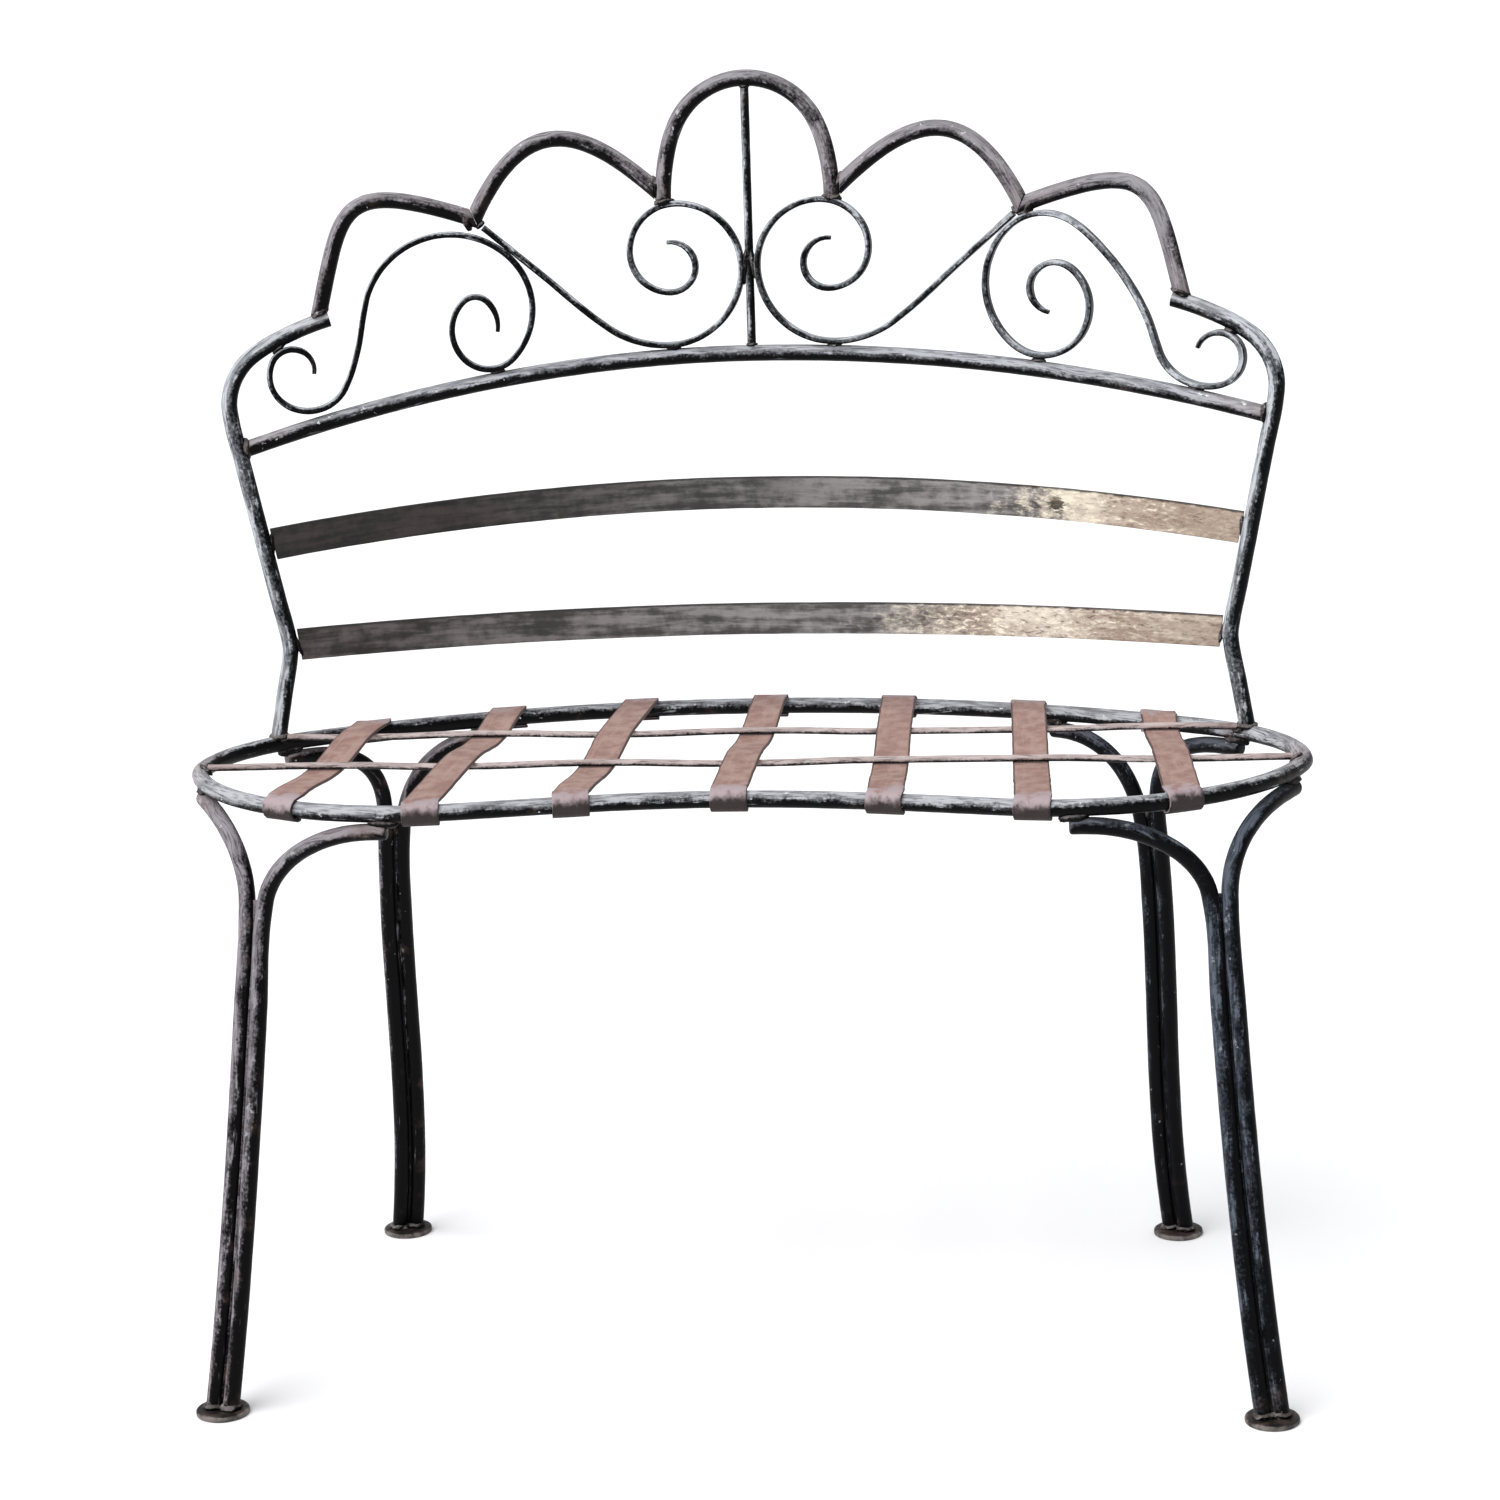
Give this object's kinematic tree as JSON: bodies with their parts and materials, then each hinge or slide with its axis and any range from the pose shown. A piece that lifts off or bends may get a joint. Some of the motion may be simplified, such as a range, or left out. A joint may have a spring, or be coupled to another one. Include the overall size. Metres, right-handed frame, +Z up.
{
  "type": "garden bench",
  "caption": "Small wrought iron garden bench with an oval seat of woven flat straps, splayed legs and a curved back with slats, scrolls and a scalloped, arched top",
  "frame": {"origin": "on the floor, midway between the four feet, and the middle of the bench's bounding box", "axes": "+X to the right as seen from the front, +Y to the back, +Z up"},
  "size_m": [0.8456, 0.423, 0.9511],
  "materials": {
    "bar_paint": "worn black paint on hammered iron, with pale streaks and silvery chips",
    "scroll_paint": "worn black paint on flat bar, lighter along its edges",
    "leg_paint": "dark worn paint, blue-black, with grey scuffs",
    "foot_iron": "scuffed dark brown-grey paint",
    "slat_iron": "brown-grey paint, weathered to pale tan and cream flakes",
    "strap_iron": "matte rosy rust brown, with chipped black paint at the wraps"
  },
  "bodies": {
    "root": {"front_rail": "bar_paint", "rear_rail": "bar_paint", "seat_strap_1": "strap_iron", "seat_strap_2": "strap_iron", "seat_strap_3": "strap_iron", "seat_strap_4": "strap_iron", "seat_strap_5": "strap_iron", "seat_strap_6": "strap_iron", "seat_strap_7": "strap_iron", "front_cross_rod": "bar_paint", "rear_cross_rod": "bar_paint", "front_left_leg_inner": "leg_paint", "front_left_leg_outer": "leg_paint", "front_right_leg_inner": "leg_paint", "front_right_leg_outer": "leg_paint", "rear_left_leg_inner": "leg_paint", "rear_left_leg_outer": "leg_paint", "rear_right_leg_inner": "leg_paint", "rear_right_leg_outer": "leg_paint", "front_left_foot": "foot_iron", "front_right_foot": "foot_iron", "rear_left_foot": "foot_iron", "rear_right_foot": "foot_iron", "left_post": "bar_paint", "right_post": "bar_paint", "left_outer_scallop": "bar_paint", "right_outer_scallop": "bar_paint", "left_inner_scallop": "bar_paint", "right_inner_scallop": "bar_paint", "centre_arch": "bar_paint", "mid_rail": "bar_paint", "upper_slat": "slat_iron", "lower_slat": "slat_iron", "centre_spindle": "bar_paint", "left_inner_scroll": "scroll_paint", "right_inner_scroll": "scroll_paint", "left_outer_scroll": "scroll_paint", "right_outer_scroll": "scroll_paint"}
  },
  "joints": []
}
